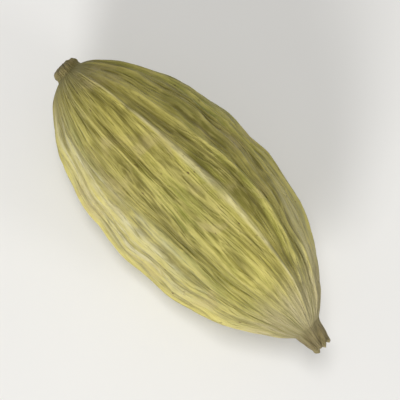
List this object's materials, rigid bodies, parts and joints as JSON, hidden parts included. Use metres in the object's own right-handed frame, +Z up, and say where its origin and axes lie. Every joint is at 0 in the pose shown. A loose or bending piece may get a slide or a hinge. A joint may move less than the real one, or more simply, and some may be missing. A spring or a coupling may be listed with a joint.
{
  "type": "green cardamom pod",
  "caption": "Dried green cardamom pod: a ribbed three-sided husk with its stalk stub and its beak, lying on one flat side.",
  "frame": {"origin": "on the surface that the pod lies on, under the middle of its bounding box", "axes": "+X along the pod from its stalk stub to its beak, +Z up, with one corner of the husk on top and one flat side below"},
  "size_m": [0.0172, 0.0078, 0.0072],
  "materials": {
    "husk": "satin"
  },
  "bodies": {
    "root": {"cardamom_pod": "husk"}
  },
  "joints": []
}
